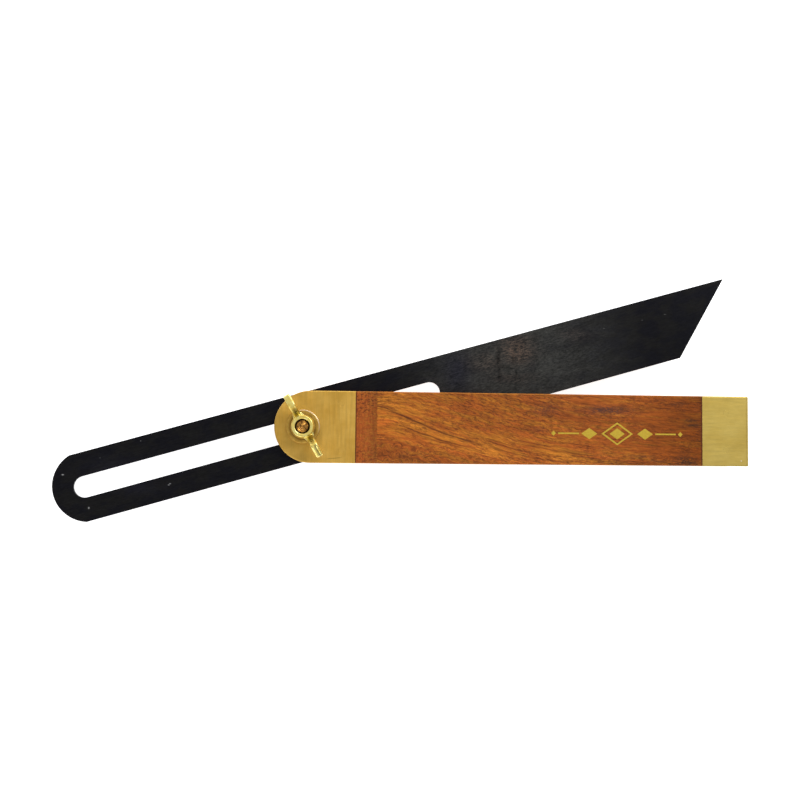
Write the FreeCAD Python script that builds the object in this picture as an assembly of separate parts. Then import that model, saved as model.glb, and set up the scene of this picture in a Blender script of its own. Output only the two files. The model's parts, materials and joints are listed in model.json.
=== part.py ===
import FreeCAD, Part

import math
import os

# Sliding bevel, lying on its back face.
# Row frame: origin on the pivot axis in the plane of the back face, +X along the stock to its tail,
# +Y across the stock, +Z out of the front face towards the wing nut. All sizes are in millimetres.

# Stock: one hardwood fork with brass let in flush at its head and over its tail.
STOCK_WIDTH = 22.8
STOCK_THICKNESS = 16.0
PIVOT_TO_HEAD = 9.0
PIVOT_TO_TAIL = 145.2
ARRIS_RADIUS = 0.35
HEAD_PLATE_END = 16.5
HEAD_PLATE_THICKNESS = 1.5
TAIL_CAP_LENGTH = 15.9
TAIL_CAP_WALL = 1.2
TAIL_BEND_RADIUS = 1.4
PIN_RADIUS = 0.9
HEAD_PIN_X = 12.0
HEAD_PIN_Y = 7.5
HEAD_PIN_LENGTH = 5.5
TAIL_PIN_Y = 6.0
KERF_WIDTH = 1.4
KERF_END = 127.0

# Blade: slotted steel strip with a rounded heel and a tip cut at 45 degrees.
BLADE_ANGLE = 16.0
BLADE_LENGTH = 230.0
BLADE_WIDTH = 21.8
BLADE_THICKNESS = 1.2
PIVOT_TO_TIP = 148.6
TIP_CUT_ANGLE = 45.0
HEEL_RADIUS = 11.5
SLOT_WIDTH = 6.8
SLOT_LENGTH = 120.7
SLOT_TO_HEEL = 6.6
BLADE_EDGE_CHAMFER = 0.12

# Clamp: square-necked countersunk bolt, sleeve, washer and wing nut.
# Threads are smooth at their pitch diameter; the bolt's grooves stop at its root diameter.
RUNNING_GAP = 0.05
BOLT_HEAD_RADIUS = 4.6
BOLT_NECK_SIDE = 4.4
BOLT_NECK_TOP = 4.0
BOLT_SHANK_RADIUS = 2.5
BOLT_SHANK_TOP = 15.8
THREAD_RADIUS = 2.25
THREAD_ROOT_RADIUS = 2.0
THREAD_PITCH = 0.8
BOLT_END = 21.6
BOLT_END_CHAMFER = 0.35
SLEEVE_RADIUS = 3.3
SLEEVE_LENGTH = 10.3
WASHER_RADIUS = 5.35
WASHER_BORE_RADIUS = 2.4
WASHER_THICKNESS = 1.0
WASHER_CHAMFER = 0.2
NUT_ANGLE = 120.0
NUT_FOOT_RADIUS = 3.9
NUT_FOOT_HEIGHT = 0.6
NUT_TOP_RADIUS = 3.35
NUT_HEIGHT = 5.4
NUT_MOUTH_CHAMFER = 0.15
WING_THICKNESS = 2.2
WING_EDGE_RADIUS = 0.45
WING_OFFSET = 0.3
WING_ROOT_END = 4.9
WING_ROOT_WIDTH = 5.0
WING_ROOT_HEIGHT = 3.4

# Side outline of one wing as (distance from the axis, height, corner radius).
WING_OUTLINE = [
    (2.7, 0.9, 0.0),
    (4.5, 0.9, 0.0),
    (10.0, 4.4, 1.2),
    (11.0, 7.2, 0.9),
    (6.8, 8.7, 1.0),
    (3.6, 4.3, 0.8),
    (2.7, 4.3, 0.0),
]

HALF_WIDTH = STOCK_WIDTH / 2
HEAD_CENTRE = HALF_WIDTH - PIVOT_TO_HEAD
KERF_FLOOR = (STOCK_THICKNESS - KERF_WIDTH) / 2
BLADE_FLOOR = (STOCK_THICKNESS - BLADE_THICKNESS) / 2
TAIL_CAP_START = PIVOT_TO_TAIL - TAIL_CAP_LENGTH
NUT_FLOOR = STOCK_THICKNESS + WASHER_THICKNESS
CLEAR = 5.0
TINY = 1e-4
UP = FreeCAD.Vector(0, 0, 1)


def point(x, y, z=0.0):
    return FreeCAD.Vector(x, y, z)


def box(low, high):
    size = [b - a for a, b in zip(low, high)]
    return Part.makeBox(*size, point(*low))


def rod(radius, bottom, top, x=0.0, y=0.0):
    return Part.makeCylinder(radius, top - bottom, point(x, y, bottom))


def turned(profile):
    """Solid of revolution about Z from (radius, height) points."""
    corners = [point(r, 0, z) for r, z in profile]
    face = Part.Face(Part.makePolygon(corners + corners[:1]))
    return face.revolve(point(0, 0), UP, 360)


def rounded_outline(corners):
    """Closed wire in the XZ plane through (x, z, corner radius) points, with tangent arcs."""
    edges = []
    starts = []
    ends = []
    count = len(corners)
    for i, (x, z, radius) in enumerate(corners):
        here = point(x, 0, z)
        before = point(corners[i - 1][0], 0, corners[i - 1][1]) - here
        after = point(corners[(i + 1) % count][0], 0, corners[(i + 1) % count][1]) - here
        before.normalize()
        after.normalize()
        half = before.getAngle(after) / 2
        reach = radius / math.tan(half)
        starts.append(here + before * reach)
        ends.append(here + after * reach)
        if radius:
            bisector = (before + after).normalize()
            middle = here + bisector * (radius / math.sin(half) - radius)
            edges.append(Part.Arc(starts[-1], middle, ends[-1]).toShape())
    for i in range(count):
        edges.append(Part.LineSegment(ends[i], starts[(i + 1) % count]).toShape())
    return Part.Wire(Part.__sortEdges__(edges))


def stock_blank():
    """The whole stock as it leaves the sanding belt: one round end, one square end, eased arrises."""
    upper = point(HEAD_CENTRE, HALF_WIDTH)
    lower = point(HEAD_CENTRE, -HALF_WIDTH)
    upper_tail = point(PIVOT_TO_TAIL, HALF_WIDTH)
    lower_tail = point(PIVOT_TO_TAIL, -HALF_WIDTH)
    outline = Part.Wire([
        Part.Arc(upper, point(-PIVOT_TO_HEAD, 0), lower).toShape(),
        Part.LineSegment(lower, lower_tail).toShape(),
        Part.LineSegment(lower_tail, upper_tail).toShape(),
        Part.LineSegment(upper_tail, upper).toShape(),
    ])
    blank = Part.Face(outline).extrude(UP * STOCK_THICKNESS)
    bends = [e for e in blank.Edges if e.BoundBox.XMin > TAIL_CAP_START and e.BoundBox.ZLength < TINY]
    blank = blank.makeFillet(TAIL_BEND_RADIUS, bends)
    return blank.makeFillet(ARRIS_RADIUS, [e for e in blank.Edges if is_arris(e)])


def is_arris(edge):
    """True for the edges round the two long sides and the round head."""
    extent = edge.BoundBox
    runs_across = extent.YLength > TINY and extent.XLength < TINY
    head_seam = extent.ZLength > TINY and extent.XMax < TAIL_CAP_START
    return not runs_across and not head_seam


def head_zone(bottom, top):
    return box((-PIVOT_TO_HEAD - CLEAR, -STOCK_WIDTH, bottom), (HEAD_PLATE_END, STOCK_WIDTH, top))


def head_pins(bottom, top):
    return [rod(PIN_RADIUS, bottom, top, HEAD_PIN_X, y) for y in (-HEAD_PIN_Y, HEAD_PIN_Y)]


def front_pins():
    return head_pins(STOCK_THICKNESS - HEAD_PIN_LENGTH, STOCK_THICKNESS)


def back_pins():
    return head_pins(0, HEAD_PIN_LENGTH)


def tail_pins():
    x = PIVOT_TO_TAIL - TAIL_CAP_LENGTH / 2
    return [rod(PIN_RADIUS, 0, STOCK_THICKNESS, x, y) for y in (-TAIL_PIN_Y, TAIL_PIN_Y)]


def tail_cap():
    """Brass strip folded over the tail: front leg, end wall and back leg."""
    high = PIVOT_TO_TAIL + CLEAR
    zone = box((TAIL_CAP_START, -STOCK_WIDTH, -CLEAR), (high, STOCK_WIDTH, STOCK_THICKNESS + CLEAR))
    inner_low = (TAIL_CAP_START - CLEAR, -STOCK_WIDTH, TAIL_CAP_WALL)
    inner_high = (PIVOT_TO_TAIL - TAIL_CAP_WALL, STOCK_WIDTH, STOCK_THICKNESS - TAIL_CAP_WALL)
    core = box(inner_low, inner_high)
    inner_bends = [
        e for e in core.Edges if e.BoundBox.YLength > STOCK_WIDTH and e.BoundBox.XMin > TAIL_CAP_START
    ]
    core = core.makeFillet(TAIL_BEND_RADIUS - TAIL_CAP_WALL, inner_bends)
    return stock_blank().common(zone).cut(core)


def bolt_head():
    small_radius = BOLT_HEAD_RADIUS - HEAD_PLATE_THICKNESS
    return Part.makeCone(BOLT_HEAD_RADIUS, small_radius, HEAD_PLATE_THICKNESS)


def square_neck(gap=0.0):
    half = BOLT_NECK_SIDE / 2 + gap
    return box((-half, -half, HEAD_PLATE_THICKNESS), (half, half, BOLT_NECK_TOP + gap))


def stock_body():
    kerf_low = (-PIVOT_TO_HEAD - CLEAR, -STOCK_WIDTH, KERF_FLOOR)
    kerf = box(kerf_low, (KERF_END, STOCK_WIDTH, KERF_FLOOR + KERF_WIDTH))
    sleeve_hole = rod(SLEEVE_RADIUS + RUNNING_GAP, BOLT_NECK_TOP, STOCK_THICKNESS)
    plates = [
        head_zone(-CLEAR, HEAD_PLATE_THICKNESS),
        head_zone(STOCK_THICKNESS - HEAD_PLATE_THICKNESS, STOCK_THICKNESS + CLEAR),
    ]
    removed = plates + [tail_cap(), kerf, sleeve_hole, square_neck(RUNNING_GAP)]
    return stock_blank().cut(removed + front_pins() + back_pins() + tail_pins())


def head_plate_front():
    plate = stock_blank().common(head_zone(STOCK_THICKNESS - HEAD_PLATE_THICKNESS, STOCK_THICKNESS))
    bolt_hole = rod(BOLT_SHANK_RADIUS + 2 * RUNNING_GAP, 0, STOCK_THICKNESS)
    return plate.cut([bolt_hole] + front_pins())


def head_plate_back():
    plate = stock_blank().common(head_zone(0, HEAD_PLATE_THICKNESS))
    return plate.cut([bolt_head()] + back_pins())


def thread_grooves():
    """Turned outline of the threaded end: one V-groove for each pitch."""
    depth = THREAD_RADIUS - THREAD_ROOT_RADIUS
    count = int((BOLT_END - BOLT_END_CHAMFER - BOLT_SHANK_TOP) / THREAD_PITCH)
    profile = []
    for i in range(1, count):
        middle = BOLT_SHANK_TOP + i * THREAD_PITCH
        profile.append((THREAD_RADIUS, middle - depth))
        profile.append((THREAD_ROOT_RADIUS, middle))
        profile.append((THREAD_RADIUS, middle + depth))
    return profile


def pivot_bolt():
    """Square neck held in the wood, plain shank through the sleeve, threaded end in the nut."""
    shank_step = BOLT_SHANK_RADIUS - THREAD_RADIUS
    profile = [
        (0, BOLT_NECK_TOP),
        (BOLT_SHANK_RADIUS, BOLT_NECK_TOP),
        (BOLT_SHANK_RADIUS, BOLT_SHANK_TOP),
        (THREAD_RADIUS, BOLT_SHANK_TOP + shank_step),
    ]
    profile += thread_grooves()
    profile += [
        (THREAD_RADIUS, BOLT_END - BOLT_END_CHAMFER),
        (THREAD_RADIUS - BOLT_END_CHAMFER, BOLT_END),
        (0, BOLT_END),
    ]
    return turned(profile).fuse([bolt_head(), square_neck()]).removeSplitter()


def pivot_sleeve():
    bottom = BOLT_NECK_TOP + 2 * RUNNING_GAP
    tube = rod(SLEEVE_RADIUS, bottom, bottom + SLEEVE_LENGTH)
    return tube.cut(rod(BOLT_SHANK_RADIUS + RUNNING_GAP, 0, STOCK_THICKNESS))


def slot_cutter(heel):
    """Round-ended cutter for the slot; its ends are half circles of the slot's width."""
    radius = SLOT_WIDTH / 2
    first = heel + SLOT_TO_HEEL + radius
    last = heel + SLOT_TO_HEEL + SLOT_LENGTH - radius
    top = BLADE_FLOOR + BLADE_THICKNESS + CLEAR
    middle = box((first, -radius, BLADE_FLOOR - CLEAR), (last, radius, top))
    ends = [rod(radius, BLADE_FLOOR - CLEAR, top, x) for x in (first, last)]
    return middle.fuse(ends).removeSplitter()


def blade():
    half = BLADE_WIDTH / 2
    heel = PIVOT_TO_TIP - BLADE_LENGTH
    heel_corner = heel + HEEL_RADIUS - math.sqrt(HEEL_RADIUS ** 2 - half ** 2)
    short_corner = PIVOT_TO_TIP - BLADE_WIDTH / math.tan(math.radians(TIP_CUT_ANGLE))
    upper_heel = point(heel_corner, half, BLADE_FLOOR)
    lower_heel = point(heel_corner, -half, BLADE_FLOOR)
    lower_tip = point(short_corner, -half, BLADE_FLOOR)
    upper_tip = point(PIVOT_TO_TIP, half, BLADE_FLOOR)
    outline = Part.Wire([
        Part.Arc(upper_heel, point(heel, 0, BLADE_FLOOR), lower_heel).toShape(),
        Part.LineSegment(lower_heel, lower_tip).toShape(),
        Part.LineSegment(lower_tip, upper_tip).toShape(),
        Part.LineSegment(upper_tip, upper_heel).toShape(),
    ])
    strip = Part.Face(outline).extrude(UP * BLADE_THICKNESS).cut(slot_cutter(heel))
    rims = [e for e in strip.Edges if e.BoundBox.ZLength < TINY]
    strip = strip.makeChamfer(BLADE_EDGE_CHAMFER, rims)
    strip.rotate(point(0, 0), UP, BLADE_ANGLE)
    return strip


def nut_washer():
    floor = STOCK_THICKNESS
    inner = WASHER_BORE_RADIUS
    outer = WASHER_RADIUS
    return turned([
        (inner, floor),
        (outer, floor),
        (outer, NUT_FLOOR - WASHER_CHAMFER),
        (outer - WASHER_CHAMFER, NUT_FLOOR),
        (inner, NUT_FLOOR),
    ])


def wing_root():
    """The web that widens the foot of a wing where it meets the hub."""
    start = NUT_TOP_RADIUS / 2
    outline = Part.makePolygon([
        point(start, -WING_ROOT_WIDTH / 2),
        point(WING_ROOT_END, -WING_THICKNESS / 2),
        point(WING_ROOT_END, WING_THICKNESS / 2),
        point(start, WING_ROOT_WIDTH / 2),
        point(start, -WING_ROOT_WIDTH / 2),
    ])
    return Part.Face(outline).extrude(UP * WING_ROOT_HEIGHT)


def wing():
    face = Part.Face(rounded_outline(WING_OUTLINE))
    face.translate(point(0, -WING_THICKNESS / 2))
    slab = face.extrude(point(0, WING_THICKNESS))
    rims = [
        e for e in slab.Edges
        if e.BoundBox.YLength < TINY and e.BoundBox.XMax > WING_OUTLINE[1][0] + TINY
    ]
    return slab.makeFillet(WING_EDGE_RADIUS, rims).fuse(wing_root())


def wing_nut():
    hub = turned([
        (0, 0),
        (NUT_FOOT_RADIUS, 0),
        (NUT_FOOT_RADIUS, NUT_FOOT_HEIGHT),
        (NUT_TOP_RADIUS, NUT_HEIGHT),
        (0, NUT_HEIGHT),
    ])
    wings = [wing(), wing()]
    wings[1].rotate(point(0, 0), UP, 180)
    for part in wings:
        part.translate(point(0, -WING_OFFSET))
    bore_radius = THREAD_RADIUS + RUNNING_GAP
    mouth = Part.makeCone(
        bore_radius, bore_radius + NUT_MOUTH_CHAMFER, NUT_MOUTH_CHAMFER,
        point(0, 0, NUT_HEIGHT - NUT_MOUTH_CHAMFER),
    )
    nut = hub.fuse(wings).removeSplitter()
    nut = nut.cut([rod(bore_radius, -CLEAR, NUT_HEIGHT + CLEAR), mouth])
    nut.rotate(point(0, 0), UP, NUT_ANGLE)
    nut.translate(UP * NUT_FLOOR)
    return nut


def save(name, shape):
    os.makedirs("parts", exist_ok=True)
    shape.exportStep("parts/" + name + ".step")
    print(name, len(shape.Solids), round(shape.Volume, 2), shape.isValid())


save("stock_body", stock_body())
save("head_plate_front", head_plate_front())
save("head_plate_back", head_plate_back())
save("head_pins_front", Part.makeCompound(front_pins()))
save("head_pins_back", Part.makeCompound(back_pins()))
save("tail_cap", tail_cap().cut(tail_pins()))
save("tail_pins", Part.makeCompound(tail_pins()))
save("pivot_bolt", pivot_bolt())
save("pivot_sleeve", pivot_sleeve())
save("blade", blade())
save("nut_washer", nut_washer())
save("wing_nut", wing_nut())
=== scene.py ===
import json
import math

import bmesh
import bpy
from mathutils import Euler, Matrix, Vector


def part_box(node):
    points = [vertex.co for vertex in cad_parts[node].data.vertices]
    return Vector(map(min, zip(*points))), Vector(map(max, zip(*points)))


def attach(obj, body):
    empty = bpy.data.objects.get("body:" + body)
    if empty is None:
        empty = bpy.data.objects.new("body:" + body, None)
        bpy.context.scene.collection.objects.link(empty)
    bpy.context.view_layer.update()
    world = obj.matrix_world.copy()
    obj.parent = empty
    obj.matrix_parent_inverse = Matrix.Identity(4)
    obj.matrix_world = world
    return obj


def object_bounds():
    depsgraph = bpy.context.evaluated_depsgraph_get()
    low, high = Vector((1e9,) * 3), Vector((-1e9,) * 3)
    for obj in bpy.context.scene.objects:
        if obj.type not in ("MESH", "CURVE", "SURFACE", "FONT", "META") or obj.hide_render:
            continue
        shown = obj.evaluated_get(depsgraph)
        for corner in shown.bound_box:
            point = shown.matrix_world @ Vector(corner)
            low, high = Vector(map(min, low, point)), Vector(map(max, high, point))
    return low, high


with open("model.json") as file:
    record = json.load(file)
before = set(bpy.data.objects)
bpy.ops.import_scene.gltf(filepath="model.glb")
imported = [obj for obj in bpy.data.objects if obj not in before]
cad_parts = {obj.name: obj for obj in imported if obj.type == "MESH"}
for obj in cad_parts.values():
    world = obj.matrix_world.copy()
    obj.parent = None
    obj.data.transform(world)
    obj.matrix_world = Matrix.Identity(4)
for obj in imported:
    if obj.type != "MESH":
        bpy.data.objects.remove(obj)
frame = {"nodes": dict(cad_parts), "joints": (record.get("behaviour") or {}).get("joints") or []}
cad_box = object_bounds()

MM = 0.001
WHITE = (1.0, 1.0, 1.0)

# Sizes and places in the materials are millimetres: x along the stock, y across it, z up.
# A stretch is two ends, where something is 0 and 1, or two ends and what it is at each of them.
# Two tones or roughnesses are what a surface has where its noise is low and where it is high.

# Noises: features per millimetre along x, y and z, detail, roughness, and a shift in features
# that keeps one noise from repeating another.
NO_SHIFT = (0, 0, 0)
NOISES = {
    "grain wander": ((0.05, 0.12, 0.12), 3, 0.5, NO_SHIFT),
    "grain ripple": ((0.35, 0.6, 0.6), 2, 0.5, NO_SHIFT),
    "grain curls": ((0.45, 0.45, 0.45), 2, 0.5, (6, 2, 0)),
    "wood hue": ((0.09, 0.6, 0.6), 4, 0.7, (2, 8, 5)),
    "wood streaks": ((0.09, 0.9, 0.9), 3, 0.6, (4, 1, 0)),
    "wood fibres": ((0.25, 2.6, 2.6), 5, 0.7, NO_SHIFT),
    "wood clouds": ((1.1, 2.2, 2.2), 3, 0.75, NO_SHIFT),
    "coarse pores": ((0.50, 2.0, 2.0), 3, 0.65, NO_SHIFT),
    "fine pores": ((1.1, 3.6, 3.6), 2, 0.6, (3, 9, 1)),
    "pore crowds": ((0.09, 0.20, 0.20), 2, 0.5, (7, 3, 0)),
    "band edge": ((0.5, 2.5, 1.0), 2, 0.5, NO_SHIFT),
    "band figure": ((3.2, 0.35, 0.35), 4, 0.7, NO_SHIFT),
    "band mottle": ((1.0, 1.4, 1.4), 5, 0.8, (5, 0, 0)),
    "band spots": ((1.1, 1.9, 1.9), 3, 0.75, (1, 4, 0)),
    "lines across": ((6.0, 0.12, 0.12), 4, 0.7, NO_SHIFT),
    "lines along": ((0.30, 6.0, 6.0), 4, 0.7, NO_SHIFT),
    "streaks across": ((1.3, 0.05, 0.05), 3, 0.6, NO_SHIFT),
    "streaks along": ((0.12, 1.3, 1.3), 3, 0.6, NO_SHIFT),
    "plate clouds": ((0.14, 0.14, 0.14), 4, 0.6, NO_SHIFT),
    "washer tarnish": ((0.6, 0.6, 0.6), 4, 0.65, NO_SHIFT),
    "nut clouds": ((0.6, 0.6, 0.6), 4, 0.6, NO_SHIFT),
    "nut unevenness": ((1.1, 1.1, 1.1), 1, 0.4, NO_SHIFT),
    "bolt tarnish": ((1.2, 1.2, 1.2), 3, 0.7, NO_SHIFT),
    "blade lines": ((0.25, 3.5, 3.5), 5, 0.7, NO_SHIFT),
    "blade grit": ((0.9, 2.6, 2.6), 4, 0.8, NO_SHIFT),
    "blade mottle": ((0.10, 0.22, 0.22), 6, 0.65, NO_SHIFT),
    "blade sheen": ((0.16, 0.30, 0.30), 5, 0.65, (9, 4, 0)),
    "gilt wear": ((1.5, 3.0, 3.0), 4, 0.7, NO_SHIFT),
}

# The range where a noise's values mostly lie, and how many rays look for a rounded edge.
NOISE_RANGE = (0.3, 0.7)
EDGE_SAMPLES = 6


class Nodes:
    """Writes one material's node tree. Lengths in it are millimetres in the CAD frame."""

    def __init__(self, name):
        self.material = bpy.data.materials.new(name)
        self.material.use_nodes = True
        self.tree = self.material.node_tree
        self.shader = self.tree.nodes["Principled BSDF"]
        coordinates = self.tree.nodes.new("ShaderNodeTexCoord")
        self.place = self.map(coordinates.outputs["Object"], (1 / MM, 1 / MM, 1 / MM))
        self.x, self.y, self.z = self.axes(self.place)

    def put(self, value, socket):
        """Links another node's output to the socket, or sets a constant on it."""
        if isinstance(value, bpy.types.NodeSocket):
            self.tree.links.new(value, socket)
        else:
            socket.default_value = value

    def map(self, vector, scale=(1, 1, 1), turn=0.0, shift=NO_SHIFT):
        node = self.tree.nodes.new("ShaderNodeMapping")
        self.put(vector, node.inputs["Vector"])
        node.inputs["Scale"].default_value = scale
        node.inputs["Rotation"].default_value = (0, 0, turn)
        node.inputs["Location"].default_value = shift
        return node.outputs["Vector"]

    def axes(self, vector):
        node = self.tree.nodes.new("ShaderNodeSeparateXYZ")
        self.put(vector, node.inputs[0])
        return node.outputs

    def joined(self, x, y, z):
        node = self.tree.nodes.new("ShaderNodeCombineXYZ")
        for value, socket in zip((x, y, z), node.inputs):
            self.put(value, socket)
        return node.outputs[0]

    def noise(self, name, vector=None):
        """The noise of that name in NOISES, over the part's own places or those given."""
        scale, detail, roughness, shift = NOISES[name]
        places = self.place if vector is None else vector
        node = self.tree.nodes.new("ShaderNodeTexNoise")
        self.put(self.map(places, scale, shift=shift), node.inputs["Vector"])
        node.inputs["Scale"].default_value = 1.0
        node.inputs["Detail"].default_value = detail
        node.inputs["Roughness"].default_value = roughness
        return node.outputs["Fac"]

    def do(self, operation, *values):
        node = self.tree.nodes.new("ShaderNodeMath")
        node.operation = operation
        for value, socket in zip(values, node.inputs):
            self.put(value, socket)
        return node.outputs[0]

    def plus(self, first, second):
        return self.do("ADD", first, second)

    def minus(self, first, second):
        return self.do("SUBTRACT", first, second)

    def times(self, first, second):
        return self.do("MULTIPLY", first, second)

    def most(self, first, second):
        return self.do("MAXIMUM", first, second)

    def radius(self):
        """How far a place is from the pivot's axis."""
        square = self.plus(self.times(self.x, self.x), self.times(self.y, self.y))
        return self.do("SQRT", square)

    def away(self, value, centre, half):
        """How many halves the value is away from the centre."""
        return self.do("DIVIDE", self.minus(value, centre), half)

    def bell(self, *distances):
        """1 where every distance is 0, about a third where one of them is 1, and 0 further off."""
        total = 0.0
        for distance in distances:
            total = self.plus(total, self.times(distance, distance))
        return self.do("EXPONENT", self.times(total, -1.0))

    def span(self, value, low, high, out_low=0.0, out_high=1.0, smooth=True):
        """Runs from out_low to out_high as the value runs from low to high, and is level outside."""
        node = self.tree.nodes.new("ShaderNodeMapRange")
        node.interpolation_type = "SMOOTHSTEP" if smooth else "LINEAR"
        for entry, socket in zip((value, low, high, out_low, out_high), node.inputs):
            self.put(entry, socket)
        return node.outputs[0]

    def window(self, value, low, high, fade):
        """1 from low to high, with a fade of that length just inside each end, and 0 outside."""
        rise = self.span(value, low, low + fade)
        return self.times(rise, self.span(value, high - fade, high, 1.0, 0.0))

    def vary(self, noise, low, high, smooth=False):
        """Runs from low to high over the range where a noise's values mostly lie."""
        return self.span(noise, *NOISE_RANGE, low, high, smooth)

    def swing(self, noise, reach):
        """Turns a noise into one that lies on both sides of 0."""
        return self.span(noise, 0.0, 1.0, -reach, reach, smooth=False)

    def patches(self, rows):
        """Soft spots from rows of centre x and y, half length, half width and strength."""
        total = 0.0
        for x, y, half_length, half_width, strength in rows:
            spot = self.bell(self.away(self.x, x, half_length), self.away(self.y, y, half_width))
            total = self.most(total, self.times(spot, strength))
        return total

    def blend(self, factor, first, second, mode="MIX"):
        node = self.tree.nodes.new("ShaderNodeMix")
        node.data_type = "RGBA"
        node.blend_type = mode
        self.put(factor, node.inputs["Factor"])
        self.put(rgba(first), node.inputs["A"])
        self.put(rgba(second), node.inputs["B"])
        return node.outputs["Result"]

    def shade(self, colour, factor):
        return self.blend(1.0, colour, self.joined(factor, factor, factor), "MULTIPLY")

    def mottle(self, colour, noise, low, high):
        """Shades the colour by a noise, from low to high."""
        return self.shade(colour, self.vary(noise, low, high))

    def contrast(self, colour, noise, depth):
        """Shades the colour by a noise, as far below 1 as above it."""
        return self.mottle(colour, noise, self.minus(1.0, depth), self.plus(1.0, depth))

    def darken(self, colour, mask, least):
        """Shades the colour by 1 where the mask is 0, down to least where it is 1."""
        return self.shade(colour, self.span(mask, 0.0, 1.0, 1.0, least, smooth=False))

    def ramp(self, factor, stops):
        node = self.tree.nodes.new("ShaderNodeValToRGB")
        self.put(factor, node.inputs["Fac"])
        while len(node.color_ramp.elements) < len(stops):
            node.color_ramp.elements.new(0.5)
        for element, (position, colour) in zip(node.color_ramp.elements, stops):
            element.position = position
            element.color = rgba(colour)
        return node.outputs["Color"]

    def bump(self, height, distance, edge=0.0):
        """Relief of that many millimetres; edge rounds the part's sharp edges by that radius."""
        node = self.tree.nodes.new("ShaderNodeBump")
        node.inputs["Distance"].default_value = distance * MM
        self.put(height, node.inputs["Height"])
        if edge:
            rounded = self.tree.nodes.new("ShaderNodeBevel")
            rounded.samples = EDGE_SAMPLES
            rounded.inputs["Radius"].default_value = edge * MM
            self.tree.links.new(rounded.outputs["Normal"], node.inputs["Normal"])
        return node.outputs["Normal"]

    def finish(self, **inputs):
        for name, value in inputs.items():
            self.put(value, self.shader.inputs[name.replace("_", " ")])
        return self.material


def rgba(colour):
    return (*colour, 1.0) if isinstance(colour, tuple) else colour


# The wood: where it shows between the plates, half its width and half its depth.
WOOD_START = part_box("head_plate_front")[1].x / MM
WOOD_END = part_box("tail_cap")[0].x / MM
HALF_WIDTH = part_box("stock_body")[1].y / MM
HALF_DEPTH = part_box("stock_body")[1].z / MM / 2

GOLD = (0.430, 0.148, 0.016)
RED = (0.375, 0.092, 0.013)
HONEY = (0.62, 0.235, 0.030)
BRICK = (0.385, 0.088, 0.015)
OCHRE = (0.33, 0.108, 0.015)
FLECK = (0.085, 0.022, 0.007)
PLUM = (0.085, 0.032, 0.022)
TAIL_TINT = (0.61, 0.57, 0.30)

# The grain drops as half a bell curve from the head, and climbs gently towards the tail. The drop
# grows by SWEEP_SPREAD for each millimetre of y, or is EVEN_SWEEP times as much everywhere.
SWEEP_START = 18.4
SWEEP_LENGTH = 42.5
SWEEP_DROP = 11.75
SWEEP_SPREAD = 0.0497
EVEN_SWEEP = 1.2
TILT_START = 60.0
TILT = 0.07

# How far the grain wanders, ripples and curls, the stretches where it curls, and how much of
# the wandering the growth lines follow.
WANDER = 0.9
RIPPLE = 0.4
CURL = 2.2
CURL_ALONG = (55.0, 30.0)
CURL_ACROSS = (-3.0, -7.0)
GROWTH_SWAY = 0.4

# The golden belt's place across the grain and half width, and what it and the tail do to the hue.
BELT = (-7.8, 3.0)
BELT_HUE = (0.0, 1.0, -0.045, 0.05)
TAIL_HUE = (80.0, 115.0, 0.0, -0.07)
HUE_RANGE = (0.36, 0.64)
STREAK_TONES = (0.84, 1.16)
FIBRE_CONTRAST = (60.0, 105.0, 0.42, 0.52)

# How light the wood is at each place across the grain, joined by straight slopes.
RING_TONES = (
    (-16.0, 0.82),
    (-13.2, 0.96),
    (-12.0, 1.16),
    (-9.8, 1.26),
    (-8.9, 1.10),
    (-6.0, 1.04),
    (-3.0, 0.92),
    (3.0, 0.86),
    (7.0, 0.84),
    (14.0, 0.92),
)
RING_SCALE = 2.0

# Dark growth lines: place across the grain, half thickness, first and last x, darkness.
GROWTH_LINES = (
    (-8.50, 0.08, 19.5, 32.0, 0.70),
    (-8.78, 0.08, 19.5, 31.0, 1.00),
    (-9.10, 0.07, 20.0, 30.0, 0.60),
    (-8.96, 0.16, 25.0, 41.0, 1.00),
    (-8.90, 0.10, 27.0, 40.0, 1.00),
    (-8.98, 0.20, 34.0, 58.0, 0.90),
    (-7.80, 0.10, 30.0, 50.0, 0.45),
    (-8.25, 0.09, 30.0, 46.0, 0.40),
    (-9.45, 0.09, 30.0, 58.0, 0.45),
    (-10.45, 0.13, 30.0, 54.0, 0.90),
    (-10.85, 0.10, 34.0, 58.0, 0.50),
    (-11.60, 0.08, 20.0, 34.0, 0.35),
    (-7.95, 0.17, 57.0, 76.0, 0.75),
    (-7.30, 0.12, 55.0, 70.0, 0.50),
    (-5.30, 0.20, 66.0, 82.0, 0.65),
    (-6.20, 0.16, 68.0, 96.0, 0.60),
    (-8.10, 0.17, 68.0, 80.0, 0.55),
    (-5.70, 0.13, 80.0, 100.0, 0.45),
    (-9.30, 0.26, 58.0, 88.0, 0.60),
    (-10.40, 0.20, 62.0, 92.0, 0.60),
    (-7.10, 0.28, 84.0, 118.0, 0.60),
    (-7.70, 0.20, 90.0, 126.0, 0.65),
    (-8.30, 0.22, 92.0, 126.0, 0.65),
)
GROWTH_FADE = 4.0
GROWTH_BREAKS = (0.35, 0.65, 1.0, 0.6)

# Pores crowd where a noise is high, and where a length of the wood (first and last x, and fade)
# meets a stretch of y. A pore shows where its noise passes the stretch given for it.
PORE_CROWDS = (0.36, 0.6, 0.30, 0.9)
CROWDED_STRETCHES = (
    ((36.0, 92.0, 12.0), (-6.0, 1.0, 0.0, 1.0)),
    ((20.0, 52.0, 6.0), (-2.0, -6.0, 0.0, 1.0)),
    ((52.0, 128.0, 6.0), (-6.5, -9.0, 0.0, 0.9)),
)
COARSE_PORES = (0.51, 0.61)
FINE_PORES = (0.52, 0.64)
FINE_PORE_DEPTH = 0.8
PORE_DARKNESS = 0.70

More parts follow.
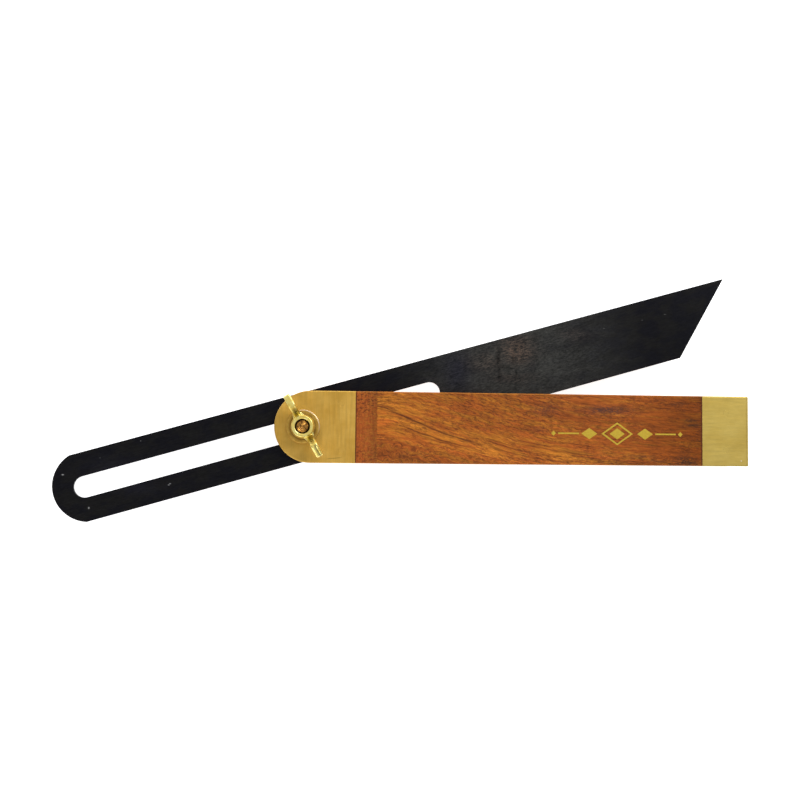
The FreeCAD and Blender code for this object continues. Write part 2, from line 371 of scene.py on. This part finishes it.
# Dark clouds in the wood: centre x and y, half length, half width, darkness.
WOOD_CLOUDS = (
    (97.5, 6.4, 7.5, 1.3, 1.15),
    (77.5, 6.4, 4.5, 1.8, 0.60),
    (75.0, 0.0, 3.0, 0.8, 0.35),
    (123.8, -10.0, 4.2, 2.2, 1.20),
    (125.5, 3.4, 2.4, 0.6, 1.20),
    (126.0, 1.8, 3.0, 0.6, 1.10),
    (128.5, -3.0, 2.5, 9.0, 0.20),
    (121.0, 8.6, 3.0, 0.8, 0.70),
    (114.5, -9.9, 3.0, 0.4, 0.80),
    (109.0, -8.4, 4.0, 0.5, 0.60),
    (33.0, -8.6, 7.0, 2.6, 0.12),
)
CLOUD_BREAKS = (0.36, 0.56, 0.12, 0.9)

# The darker band of wood beside the head plate: its edge, tones and spots.
BAND_END = 23.4
BAND_WAVER = 0.15
BAND_BLUR = 0.15
BAND_OLIVE = (18.0, BAND_END, -0.04, 0.05)
BAND_HUE_RANGE = (0.40, 0.64)
BAND_TONES = (0.75, 1.25)
FIGURE_TONES = (0.74, 1.25)
BAND_SHADE = (20.0, BAND_END - 0.8, 1.0, 0.78)
BAND_SPOTS = (0.48, 0.60)
SPOTTED_STRETCHES = (
    (2.0, 5.0, 0.0, 1.0),
    (-3.0, -7.0, 0.0, 0.7),
)
FEWEST_SPOTS = 0.35
SPOT_DARKNESS = 0.85

# Dark joints between wood and brass: first and last x, and fade. They show only near the front
# and back, by the distance from the middle as a share of the half depth.
HEAD_JOINT = (WOOD_START - 0.3, WOOD_START + 0.5, 0.3)
TAIL_JOINT = (WOOD_END - 0.6, WOOD_END + 0.3, 0.3)
NEAR_FACE = (0.72, 0.80)
JOINT_DARKNESS = 0.9

# The tail's darkening, the painted highlight and rubbed wear along the long edges, and the surface.
TAIL_SHADE = (95.0, 130.0)
ARRIS = (HALF_WIDTH - 0.5, HALF_WIDTH - 0.15)
ARRIS_HIGHLIGHT_AND_WEAR = 0.35
FIBRE_RELIEF = 0.4
WOOD_RELIEF = 0.04
WOOD_ROUGHNESS = (0.55, 0.42)
WOOD_SPECULAR = 0.12


def grain_flow(tree):
    """The place across the grain, which sweeps down from the head and then runs nearly level.

    The lines start wide apart at the head and close up, so there is a second, evenly spaced
    flow with about the same slope for the fine detail.
    """
    wander = tree.swing(tree.noise("grain wander"), WANDER)
    sway = tree.plus(wander, tree.swing(tree.noise("grain ripple"), RIPPLE))
    corner = tree.times(tree.span(tree.x, *CURL_ALONG), tree.span(tree.y, *CURL_ACROSS))
    curls = tree.times(tree.swing(tree.noise("grain curls"), CURL), corner)
    drop = tree.times(tree.bell(tree.away(tree.x, SWEEP_START, SWEEP_LENGTH)), SWEEP_DROP)
    rise = tree.times(tree.most(tree.minus(tree.x, TILT_START), 0.0), TILT)
    level = tree.plus(tree.y, rise)
    spread = tree.do("MULTIPLY_ADD", tree.y, SWEEP_SPREAD, 1.0)
    grain = tree.minus(level, tree.times(drop, spread))
    grain = tree.do("MULTIPLY_ADD", sway, GROWTH_SWAY, grain)
    even = tree.minus(level, tree.times(drop, EVEN_SWEEP))
    even = tree.plus(even, tree.plus(sway, curls))
    return grain, tree.joined(tree.x, even, tree.z)


def ring_tone(tree, grain):
    """RING_TONES by the place across the grain: scaled down in the colour ramp and up again after."""
    low, high = RING_TONES[0][0], RING_TONES[-1][0]
    stops = [((place - low) / (high - low), (tone / RING_SCALE,) * 3) for place, tone in RING_TONES]
    tone = tree.ramp(tree.span(grain, low, high, smooth=False), stops)
    return tree.times(tone, RING_SCALE)


def wood_tone(tree, grain, flow):
    """The wood between red and gold, with its rings, streaks and fibres."""
    belt = tree.bell(tree.away(grain, *BELT))
    golden = tree.plus(tree.span(belt, *BELT_HUE, smooth=False), tree.span(tree.x, *TAIL_HUE))
    hue = tree.plus(tree.noise("wood hue", flow), golden)
    colour = tree.blend(tree.span(hue, *HUE_RANGE), RED, GOLD)
    colour = tree.shade(colour, ring_tone(tree, grain))
    colour = tree.mottle(colour, tree.noise("wood streaks", flow), *STREAK_TONES)
    fibres = tree.noise("wood fibres", flow)
    return tree.contrast(colour, fibres, tree.span(tree.x, *FIBRE_CONTRAST)), fibres


def wood_pores(tree, flow):
    """Short dark pores, crowded in some places and few in others."""
    crowd = tree.span(tree.noise("pore crowds", flow), *PORE_CROWDS)
    for along, across in CROWDED_STRETCHES:
        stretch = tree.times(tree.window(tree.x, *along), tree.span(tree.y, *across))
        crowd = tree.most(crowd, stretch)
    coarse = tree.span(tree.noise("coarse pores", flow), *COARSE_PORES)
    fine = tree.span(tree.noise("fine pores", flow), *FINE_PORES)
    fine = tree.times(fine, tree.times(crowd, FINE_PORE_DEPTH))
    return tree.most(tree.times(coarse, crowd), fine)


def growth_lines(tree, grain, fibres):
    total = 0.0
    for place, half, start, end, dark in GROWTH_LINES:
        line = tree.bell(tree.away(grain, place, half))
        line = tree.times(line, tree.window(tree.x, start, end, GROWTH_FADE))
        total = tree.most(total, tree.times(line, dark))
    return tree.times(total, tree.span(fibres, *GROWTH_BREAKS))


def wood_clouds(tree):
    breaks = tree.span(tree.noise("wood clouds"), *CLOUD_BREAKS)
    return tree.times(tree.patches(WOOD_CLOUDS), breaks)


def end_band(tree):
    """The darker end of the wood next to the head plate, with its figure across the stock."""
    waver = tree.vary(tree.noise("band edge"), -BAND_WAVER, BAND_WAVER, smooth=True)
    inside = tree.span(tree.plus(tree.x, waver), BAND_END - BAND_BLUR, BAND_END + BAND_BLUR, 1.0, 0.0)
    mottle = tree.noise("band mottle")
    olive = tree.plus(mottle, tree.span(tree.x, *BAND_OLIVE, smooth=False))
    colour = tree.blend(tree.span(olive, *BAND_HUE_RANGE), BRICK, OCHRE)
    colour = tree.mottle(colour, mottle, *BAND_TONES)
    colour = tree.mottle(colour, tree.noise("band figure"), *FIGURE_TONES)
    colour = tree.shade(colour, tree.span(tree.x, *BAND_SHADE))
    crowd = FEWEST_SPOTS
    for stretch in SPOTTED_STRETCHES:
        crowd = tree.most(tree.span(tree.y, *stretch), crowd)
    spots = tree.times(tree.span(tree.noise("band spots"), *BAND_SPOTS), crowd)
    return inside, tree.blend(tree.times(spots, SPOT_DARKNESS), colour, FLECK)


def joints(tree):
    joint = tree.most(tree.window(tree.x, *HEAD_JOINT), tree.window(tree.x, *TAIL_JOINT))
    from_middle = tree.do("ABSOLUTE", tree.away(tree.z, HALF_DEPTH, HALF_DEPTH))
    joint = tree.times(joint, tree.span(from_middle, *NEAR_FACE))
    return tree.times(joint, JOINT_DARKNESS)


def wood():
    tree = Nodes("oiled_hardwood")
    grain, flow = grain_flow(tree)
    colour, fibres = wood_tone(tree, grain, flow)
    pores = wood_pores(tree, flow)
    colour = tree.blend(tree.times(pores, PORE_DARKNESS), colour, FLECK)
    colour = tree.blend(growth_lines(tree, grain, fibres), colour, FLECK)
    inside, band_colour = end_band(tree)
    colour = tree.blend(inside, colour, band_colour)
    colour = tree.blend(wood_clouds(tree), colour, PLUM)
    colour = tree.blend(tree.span(tree.x, *TAIL_SHADE), colour, TAIL_TINT, "MULTIPLY")
    colour = tree.blend(joints(tree), colour, FLECK)
    # Painted highlight along both long edges, where their rounding catches the light; it also stands
    # for rubbed wear.
    arris = tree.span(tree.do("ABSOLUTE", tree.y), *ARRIS)
    colour = tree.blend(tree.times(arris, ARRIS_HIGHLIGHT_AND_WEAR), colour, HONEY)
    relief = tree.minus(tree.times(fibres, FIBRE_RELIEF), pores)
    return tree.finish(
        Base_Color=colour,
        Roughness=tree.vary(fibres, *WOOD_ROUGHNESS, smooth=True),
        Specular_IOR_Level=WOOD_SPECULAR,
        Normal=tree.bump(relief, WOOD_RELIEF),
    )


# The sanded brass of the head plates and the tail cap: dark and light colours, tones and surface.
HEAD_COLOURS = ((0.59, 0.345, 0.062), (0.69, 0.435, 0.098))
TAIL_COLOURS = ((0.50, 0.36, 0.085), (0.54, 0.405, 0.11))
PLATE_CLOUDS = (0.35, 0.65)
SANDED_LINE_TONES = (0.88, 1.10)
SANDED_STREAK_TONES = (0.94, 1.06)
PLATE_ROUGHNESS = (0.46, 0.56)
SANDED_RELIEF = 0.007
PLATE_EDGE = 0.15

# Hairline scratch in the head plate: first and last x, fade, y halfway, slope and half width.
PLATE_SCRATCH = (7.0, 12.8, 1.5, -9.85, 0.10, 0.13)
PLATE_SCRATCH_TONE = 0.6

# Painted shadow of the nut on the head plate, in olive, mostly beside the nut: centre x and y, half
# lengths, strength.
PLATE_NUT_SHADOWS = (
    (-5.0, -1.2, 1.6, 4.0, 0.22),
    (-3.6, -5.2, 3.4, 1.6, 0.25),
    (0.5, -9.6, 2.6, 1.8, 0.30),
    (4.6, -3.0, 1.6, 3.0, 0.30),
)
SHADOWED_RADII = (4.8, 5.6, 0.3, 1.0)
OLIVE_NUT_SHADOW = (0.30, 0.185, 0.036)

# Nick in the tail cap: centre x and y, half lengths, strength.
TAIL_NICKS = ((142.3, -9.6, 0.18, 0.18, 1.0),)
BARE_NICK = (0.85, 0.78, 0.62)


def sanded_brass(name, colours, direction, damage_and_shadow):
    """Brass with fine lines along or across the stock and cloudy patches; the last argument adds its
    damage and, on the head plate, painted shadow of the nut.
    """
    tree = Nodes(name)
    lines = tree.noise("lines " + direction)
    streaks = tree.noise("streaks " + direction)
    colour = tree.ramp(tree.noise("plate clouds"), list(zip(PLATE_CLOUDS, colours)))
    colour = tree.mottle(colour, lines, *SANDED_LINE_TONES)
    colour = tree.mottle(colour, streaks, *SANDED_STREAK_TONES)
    return tree.finish(
        Base_Color=damage_and_shadow(tree, colour),
        Metallic=1.0,
        Roughness=tree.vary(streaks, *PLATE_ROUGHNESS, smooth=True),
        Normal=tree.bump(lines, SANDED_RELIEF, edge=PLATE_EDGE),
    )


def head_scratch_and_shadow(tree, colour):
    start, end, fade, height, slope, half = PLATE_SCRATCH
    from_middle = tree.minus(tree.x, (start + end) / 2)
    line = tree.do("MULTIPLY_ADD", from_middle, slope, height)
    scratch = tree.bell(tree.away(tree.y, line, half))
    scratch = tree.times(scratch, tree.window(tree.x, start, end, fade))
    colour = tree.darken(colour, scratch, PLATE_SCRATCH_TONE)
    # Painted shadow of the nut, olive, fading in under the washer's edge.
    nut_shadow = tree.times(tree.patches(PLATE_NUT_SHADOWS), tree.span(tree.radius(), *SHADOWED_RADII))
    return tree.blend(nut_shadow, colour, OLIVE_NUT_SHADOW)


def tail_marks(tree, colour):
    return tree.blend(tree.patches(TAIL_NICKS), colour, BARE_NICK)


# The washer: its lit side is a stretch of x + y, and its rings of painted shade and painted rim
# highlight are radii.
WASHER_COLOURS = ((0.50, 0.285, 0.050), (0.66, 0.42, 0.095))
WASHER_TARNISH = (0.35, 0.65)
LIT_SIDE = (1.5, 6.5)
SHADED_RADII = (3.8, 5.0, 1.0, 0.0)
SHADE_STRENGTH = (0.0, 1.0, 0.9, 0.3)
SHADE_BROWN = (0.24, 0.125, 0.026)
RIM_HIGHLIGHT_RADII = (4.9, 5.15)
RIM_HIGHLIGHT_STRENGTH = 0.6
RIM_HIGHLIGHT_BRASS = (0.88, 0.76, 0.58)
WASHER_ROUGHNESS = (0.34, 0.44)
WASHER_RELIEF = 0.02
WASHER_EDGE = 0.35


def washer_brass():
    """A turned washer: golden on the lit side, with painted brown shade round the nut away from it
    and a painted highlight on its rim.
    """
    tree = Nodes("washer_brass")
    tarnish = tree.noise("washer tarnish")
    radius = tree.radius()
    colour = tree.ramp(tarnish, list(zip(WASHER_TARNISH, WASHER_COLOURS)))
    # The lit side faces the key light; the painted brown shade round the nut is strongest away from
    # it.
    lit_side = tree.span(tree.plus(tree.x, tree.y), *LIT_SIDE)
    shaded = tree.times(tree.span(radius, *SHADED_RADII), tree.span(lit_side, *SHADE_STRENGTH))
    colour = tree.blend(shaded, colour, SHADE_BROWN)
    # Painted highlight on the washer's rim, on the lit side only.
    rim_highlight = tree.times(tree.span(radius, *RIM_HIGHLIGHT_RADII), lit_side)
    colour = tree.blend(tree.times(rim_highlight, RIM_HIGHLIGHT_STRENGTH), colour, RIM_HIGHLIGHT_BRASS)
    return tree.finish(
        Base_Color=colour,
        Metallic=1.0,
        Roughness=tree.vary(tarnish, *WASHER_ROUGHNESS, smooth=True),
        Normal=tree.bump(tarnish, WASHER_RELIEF, edge=WASHER_EDGE),
    )


# The wing nut: its foot, painted shade by radius in the bore and by height at the foot, and the turn
# that lays its wings along x. The painted shade where the wings rise runs from one side of the wings
# to the other.
NUT_COLOURS = ((0.93, 0.69, 0.15), (1.0, 0.87, 0.31))
NUT_CLOUDS = (0.36, 0.60)
NUT_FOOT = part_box("wing_nut")[0].z / MM
BORE_SHADE = (2.16, 2.34, 0.10, 1.0)
FOOT_SHADE = (NUT_FOOT, NUT_FOOT + 2.0, 0.45, 1.0)
WING_TURN = math.radians(60)
ROOT_RADIUS = (4.7, 1.1)
ROOT_SHADE = (-0.9, 0.2, 0.82, 0.36)
NUT_ROUGHNESS = (0.34, 0.26)
NUT_UNEVENNESS = 0.4
NUT_RELIEF = 0.12

# Groove in one wing, its middle darkened with painted shade: place and half width across the wing,
# then its ends and fade along it.
GROOVE_ACROSS = (0.5, 0.40)
GROOVE_ALONG = (6.6, 11.6, 0.5)
GROOVE_SHADE = 0.38

# Cast skin: the remesh's voxel, the smoothing, and the height and spacing of the unevenness.
SKIN_VOXEL = 0.09
SKIN_SMOOTHING = 0.5
SKIN_SMOOTH_STEPS = 10
SKIN_HEIGHT = 0.06
SKIN_SPACING = 2.5


def cast_brass():
    """Bright where the nut is handled, with painted brown shade in its bore, at its foot and where
    the wings rise.
    """
    tree = Nodes("cast_brass")
    radius = tree.radius()
    clouds = tree.noise("nut clouds")
    wing = tree.axes(tree.map(tree.place, turn=WING_TURN))
    colour = tree.ramp(clouds, list(zip(NUT_CLOUDS, NUT_COLOURS)))
    # Painted shade in the bore and at the foot.
    colour = tree.shade(colour, tree.span(radius, *BORE_SHADE))
    colour = tree.shade(colour, tree.span(tree.z, *FOOT_SHADE))
    # Painted shade where the wings rise, deeper on one side of them.
    root_shade = tree.span(wing["Y"], *ROOT_SHADE)
    colour = tree.darken(colour, tree.bell(tree.away(radius, *ROOT_RADIUS)), root_shade)
    # The groove in one wing; its middle is darkened with painted shade.
    groove = tree.bell(tree.away(wing["Y"], *GROOVE_ACROSS))
    groove = tree.times(groove, tree.window(wing["X"], *GROOVE_ALONG))
    unevenness = tree.times(tree.noise("nut unevenness"), NUT_UNEVENNESS)
    return tree.finish(
        Base_Color=tree.darken(colour, groove, GROOVE_SHADE),
        Metallic=1.0,
        Roughness=tree.vary(clouds, *NUT_ROUGHNESS, smooth=True),
        Normal=tree.bump(tree.minus(unevenness, groove), NUT_RELIEF),
    )


def cast_skin(node):
    """Turns a sharp part into a cast one: rounded edges, filled corners and an uneven skin."""
    piece = frame["nodes"][node]
    remesh = piece.modifiers.new("remesh", "REMESH")
    remesh.mode = "VOXEL"
    remesh.voxel_size = SKIN_VOXEL * MM
    remesh.use_smooth_shade = True
    smooth = piece.modifiers.new("smooth", "SMOOTH")
    smooth.factor = SKIN_SMOOTHING
    smooth.iterations = SKIN_SMOOTH_STEPS
    clouds = bpy.data.textures.new("cast_skin", "CLOUDS")
    clouds.noise_scale = SKIN_SPACING * MM
    displace = piece.modifiers.new("uneven", "DISPLACE")
    displace.texture = clouds
    displace.texture_coords = "LOCAL"
    displace.strength = SKIN_HEIGHT * MM


# The bolt: its turned rings, in radians per millimetre, and its thread, which is darkened with
# painted shade inside the nut only.
BOLT_COLOURS = ((0.16, 0.065, 0.018), (0.66, 0.34, 0.08))
BOLT_TARNISH = (0.40, 0.60)
RING_RATE = 14.0
RING_SHADES = (-1.0, 1.0, 0.7, 1.3)
THREAD_RADII = (1.72, 1.86)
THREAD_SHADE = (12.0, NUT_FOOT, 1.0, 0.10)
BOLT_ROUGHNESS = 0.3
BOLT_RELIEF = 0.05


def turned_bronze():
    tree = Nodes("turned_bronze")
    radius = tree.radius()
    rings = tree.do("SINE", tree.times(radius, RING_RATE))
    colour = tree.ramp(tree.noise("bolt tarnish"), list(zip(BOLT_TARNISH, BOLT_COLOURS)))
    colour = tree.shade(colour, tree.span(rings, *RING_SHADES))
    # Painted shade on the thread where it sits down in the nut's bore.
    thread_shade = tree.span(tree.z, *THREAD_SHADE)
    return tree.finish(
        Base_Color=tree.shade(colour, tree.span(radius, *THREAD_RADII, 1.0, thread_shade)),
        Metallic=1.0,
        Roughness=BOLT_ROUGHNESS,
        Normal=tree.bump(rings, BOLT_RELIEF),
    )


# The blade: its angle to the stock, where along it wear starts and ends, and the darker tip.
BLADE_AXIS = next(j["axis"] for j in frame["joints"] if j["name"] == "blade_slide")
BLADE_ANGLE = math.atan2(BLADE_AXIS[1], BLADE_AXIS[0])
WEAR_STARTS = (30.0, 60.0)
WEAR_ENDS = (120.0, 74.0)
WEAR_STRENGTH = (0.45, 1.0)
TIP_TONES = (82.0, 126.0, 1.0, 0.66)

BLUED_COLOURS = ((0.0120, 0.0120, 0.0152), (0.0160, 0.0156, 0.0158))
SHEEN_RANGE = (0.38, 0.62)
WORN_STEEL = (0.045, 0.045, 0.042)
BLUE_STEEL = (0.021, 0.021, 0.030)
BROWN_STEEL = (0.098, 0.066, 0.050)
BARE_STEEL = (0.5, 0.5, 0.5)

# Blade marks as it lies at rest: centre x and y, half length, half width, strength.
BLADE_BLUE = (
    (50.0, 19.0, 4.5, 7.0, 0.8),
    (-60.0, -14.0, 8.0, 4.0, 0.5),
    (-52.0, -20.0, 6.0, 2.0, 0.5),
)
BLADE_BROWN = (
    (69.6, 26.0, 5.0, 4.2, 0.9),
    (60.0, 22.0, 6.0, 3.0, 0.35),
    (68.0, 17.0, 7.0, 2.0, 0.25),
    (89.0, 31.5, 5.0, 2.0, 0.15),
)
BLADE_SCRATCHES = (
    (63.4, 23.3, 0.75, 2.4, 1.00),
    (63.8, 18.8, 0.55, 3.6, 0.75),
    (68.4, 23.2, 0.50, 1.8, 0.75),
    (69.4, 18.6, 0.50, 2.6, 0.65),
    (65.8, 20.4, 2.6, 0.55, 0.75),
    (52.5, 20.0, 0.60, 4.0, 0.30),
    (84.0, 24.0, 0.40, 3.0, 0.25),
)
BLADE_SPECKS = (
    (-75.4, -15.9, 0.30, 0.16, 1.0),
    (-67.1, -26.3, 0.20, 0.26, 0.9),
    (-42.4, -18.9, 0.26, 0.14, 0.6),
    (-42.0, -18.5, 0.26, 0.14, 0.6),
    (98.9, 33.9, 0.30, 0.12, 0.10),
    (111.9, 36.9, 0.22, 0.12, 0.10),
    (119.7, 39.0, 0.32, 0.12, 0.12),
    (-51.5, -5.0, 0.16, 0.16, 0.25),
    (-64.0, -10.5, 0.14, 0.14, 0.15),
)
BROWN_BREAKS = (0.42, 0.58, 0.05, 1.0)
SCRATCH_BREAKS = (0.35, 0.6, 1.0, 0.6)
BLADE_SCRATCH_TONE = 0.25
BLADE_LINE_TONES = (0.8, 1.2)
GRIT_CONTRAST = (0.0, 0.6, 0.22, 0.65)
BLADE_ROUGHNESS = (0.38, 0.5)
BLADE_RELIEF = 0.01
BLADE_EDGE = 0.12


def blade_wear(tree, distance, mottle):
    """How worn the blade is: along its middle, in patches."""
    middle = tree.times(tree.span(distance, *WEAR_STARTS), tree.span(distance, *WEAR_ENDS))
    return tree.times(middle, tree.vary(mottle, *WEAR_STRENGTH, smooth=True))


def blued_steel():
    """Blued blade: nearly black, worn to a mottled grey-brown along its middle."""
    tree = Nodes("blued_steel")
    along = tree.map(tree.place, turn=-BLADE_ANGLE)
    distance = tree.axes(along)["X"]
    lines = tree.noise("blade lines", along)
    grit = tree.noise("blade grit", along)
    mottle = tree.noise("blade mottle", along)
    worn = blade_wear(tree, distance, mottle)
    sheen = tree.span(tree.noise("blade sheen", along), *SHEEN_RANGE)
    colour = tree.shade(tree.blend(sheen, *BLUED_COLOURS), tree.span(distance, *TIP_TONES))
    colour = tree.blend(worn, colour, WORN_STEEL)
    colour = tree.blend(tree.patches(BLADE_BLUE), colour, BLUE_STEEL)
    brown = tree.times(tree.patches(BLADE_BROWN), tree.span(grit, *BROWN_BREAKS))
    colour = tree.blend(brown, colour, BROWN_STEEL)
    colour = tree.mottle(colour, lines, *BLADE_LINE_TONES)
    colour = tree.contrast(colour, grit, tree.span(worn, *GRIT_CONTRAST))
    scratches = tree.times(tree.patches(BLADE_SCRATCHES), tree.span(grit, *SCRATCH_BREAKS))
    colour = tree.darken(colour, scratches, BLADE_SCRATCH_TONE)
    return tree.finish(
        Base_Color=tree.blend(tree.patches(BLADE_SPECKS), colour, BARE_STEEL),
        Metallic=1.0,
        Roughness=tree.vary(mottle, *BLADE_ROUGHNESS, smooth=True),
        Normal=tree.bump(lines, BLADE_RELIEF, edge=BLADE_EDGE),
    )


# The printed ornament: its middle on the wood, how far it stands out, and its line. From its
# middle out it has an open lozenge round a small one, then on each side a lozenge, a rule from
# its first to its last x, and a dot. Lozenges are given by centre, half length and half width.
MARK_CENTRE = (101.0, -1.2)
MARK_RELIEF = 0.03
MARK_LINE = 0.5
MARK_LOZENGE = (5.2, 3.7)
MARK_HEART = (2.5, 1.8)
MARK_SIDE = (9.2, 2.6, 1.8)
MARK_RULE = (12.6, 19.4)
MARK_DOT = (20.9, 0.8, 0.8)

GILT_COLOURS = ((0.45, 0.29, 0.02), (0.56, 0.40, 0.03))
GILT_WEAR = (0.35, 0.6)
GILT_METALLIC = 0.4
GILT_ROUGHNESS = 0.45
GILT_RELIEF = 0.01


def gilt():
    tree = Nodes("gilt_print")
    wear = tree.noise("gilt wear")
    return tree.finish(
        Base_Color=tree.ramp(wear, list(zip(GILT_WEAR, GILT_COLOURS))),
        Metallic=GILT_METALLIC,
        Roughness=GILT_ROUGHNESS,
        Normal=tree.bump(wear, GILT_RELIEF),
    )


def prism(mesh, corners):
    """Adds a thin raised shape on the wood, standing on the corners given round its middle."""
    x, y = MARK_CENTRE
    face_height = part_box("stock_body")[1].z / MM
    rings = []
    for height in (face_height - MARK_RELIEF, face_height + MARK_RELIEF):
        rings.append([mesh.verts.new(Vector((x + u, y + v, height)) * MM) for u, v in corners])
    low, high = rings
    mesh.faces.new(high)
    mesh.faces.new(list(reversed(low)))
    for i in range(len(corners)):
        j = (i + 1) % len(corners)
        mesh.faces.new((low[i], low[j], high[j], high[i]))


def lozenge(centre, half_length, half_width):
    return [
        (centre + half_length, 0.0),
        (centre, half_width),
        (centre - half_length, 0.0),
        (centre, -half_width),
    ]


def lozenge_frame(mesh, half_length, half_width, line):
    """An open lozenge drawn with a line of even width."""
    slant = math.hypot(half_length, half_width)
    outer = lozenge(0.0, half_length, half_width)
    inner_length = half_length - line * slant / half_width
    inner_width = half_width - line * slant / half_length
    inner = lozenge(0.0, inner_length, inner_width)
    for i in range(len(outer)):
        j = (i + 1) % len(outer)
        prism(mesh, (outer[i], outer[j], inner[j], inner[i]))


def ornament():
    """A plain row of lozenges and rules, in place of the printed marking on the real one."""
    mesh = bmesh.new()
    lozenge_frame(mesh, *MARK_LOZENGE, MARK_LINE)
    prism(mesh, lozenge(0.0, *MARK_HEART))
    start, end = MARK_RULE
    half = MARK_LINE / 2
    for side in (1, -1):
        for centre, half_length, half_width in (MARK_SIDE, MARK_DOT):
            prism(mesh, lozenge(side * centre, half_length, half_width))
        rule = [(start, -half), (end, -half), (end, half), (start, half)]
        prism(mesh, [(side * u, side * v) for u, v in rule])
    data = bpy.data.meshes.new("ornament")
    mesh.to_mesh(data)
    mesh.free()
    data.materials.append(gilt())
    piece = bpy.data.objects.new("ornament", data)
    bpy.context.scene.collection.objects.link(piece)
    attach(piece, "stock")


# The studio, in metres: a white floor that glows a little, and three softboxes with their
# place, width and height, and watts.
FLOOR_SIZE = 3.0
FLOOR_GAP = 0.0001
FLOOR_COLOUR = (0.8, 0.8, 0.8)
FLOOR_ROUGHNESS = 0.9
FLOOR_GLOW = 0.85
SOFTBOXES = (
    ("key", (0.50, 0.50, 0.60), (0.4, 0.4), 4.2),
    ("fill", (-0.20, -0.60, 0.60), (0.4, 0.4), 1.2),
    ("rim", (0.0, 0.9, 0.35), (0.8, 0.3), 2.0),
)
LAMP_AIM = (0.03, 0.0, 0.0)

# The sky's strength at the horizon and overhead, and the heights between which it changes.
SKY_HORIZON = 0.30
SKY_ZENITH = 0.62
SKY_LOW = -0.1
SKY_HIGH = 0.75

# The camera looks nearly straight down on the front face: millimetres, and the tilt in degrees.
CAMERA_PLACE = (8.16, -4.89, 308.60)
CAMERA_TILT = (2.626, -4.403, 0.571)
CAMERA_LENS = 41.62
SENSOR_WIDTH = 36.0
CLIP_START = 10.0


def floor():
    low, high = cad_box
    middle = (low + high) / 2
    place = (middle.x, middle.y, low.z - FLOOR_GAP)
    bpy.ops.mesh.primitive_plane_add(size=FLOOR_SIZE, location=place)
    plane = bpy.context.object
    plane.name = "floor"
    tree = Nodes("pale_floor")
    plane.data.materials.append(tree.finish(
        Base_Color=rgba(FLOOR_COLOUR),
        Roughness=FLOOR_ROUGHNESS,
        Emission_Color=rgba(WHITE),
        Emission_Strength=FLOOR_GLOW,
    ))


def softbox(name, place, size, watts):
    light = bpy.data.lights.new(name, "AREA")
    light.shape = "RECTANGLE"
    light.size, light.size_y = size
    light.energy = watts
    lamp = bpy.data.objects.new(name, light)
    lamp.location = place
    lamp.rotation_euler = (Vector(LAMP_AIM) - Vector(place)).to_track_quat("-Z", "Y").to_euler()
    bpy.context.scene.collection.objects.link(lamp)


def sky():
    """A pale sky, brighter overhead than at the horizon."""
    world = bpy.data.worlds.new("studio")
    bpy.context.scene.world = world
    world.use_nodes = True
    tree = world.node_tree
    background = tree.nodes["Background"]
    background.inputs["Color"].default_value = rgba(WHITE)
    coordinates = tree.nodes.new("ShaderNodeTexCoord")
    axes = tree.nodes.new("ShaderNodeSeparateXYZ")
    fade = tree.nodes.new("ShaderNodeMapRange")
    fade.interpolation_type = "SMOOTHSTEP"
    fade.inputs["From Min"].default_value = SKY_LOW
    fade.inputs["From Max"].default_value = SKY_HIGH
    fade.inputs["To Min"].default_value = SKY_HORIZON
    fade.inputs["To Max"].default_value = SKY_ZENITH
    tree.links.new(coordinates.outputs["Generated"], axes.inputs[0])
    tree.links.new(axes.outputs["Z"], fade.inputs["Value"])
    tree.links.new(fade.outputs[0], background.inputs["Strength"])


def studio():
    sky()
    for name, place, size, watts in SOFTBOXES:
        softbox(name, place, size, watts)
    bpy.context.scene.view_settings.view_transform = "Standard"


def camera():
    data = bpy.data.cameras.new("camera")
    data.lens = CAMERA_LENS
    data.sensor_width = SENSOR_WIDTH
    data.clip_start = CLIP_START * MM
    shooter = bpy.data.objects.new("camera", data)
    shooter.location = Vector(CAMERA_PLACE) * MM
    shooter.rotation_euler = Euler([math.radians(angle) for angle in CAMERA_TILT])
    bpy.context.scene.collection.objects.link(shooter)
    bpy.context.scene.camera = shooter


def dress(material, *nodes):
    for node in nodes:
        slots = frame["nodes"][node].data.materials
        slots.clear()
        slots.append(material)


camera()
studio()
floor()
head_brass = sanded_brass("brass_sanded_across", HEAD_COLOURS, "across", head_scratch_and_shadow)
tail_brass = sanded_brass("brass_sanded_along", TAIL_COLOURS, "along", tail_marks)
dress(wood(), "stock_body")
dress(head_brass, "head_plate_front", "head_plate_back", "head_pins_front", "head_pins_back")
dress(tail_brass, "tail_cap", "tail_pins")
dress(turned_bronze(), "pivot_bolt", "pivot_sleeve")
dress(washer_brass(), "nut_washer")
dress(cast_brass(), "wing_nut")
dress(blued_steel(), "blade")
cast_skin("wing_nut")
ornament()
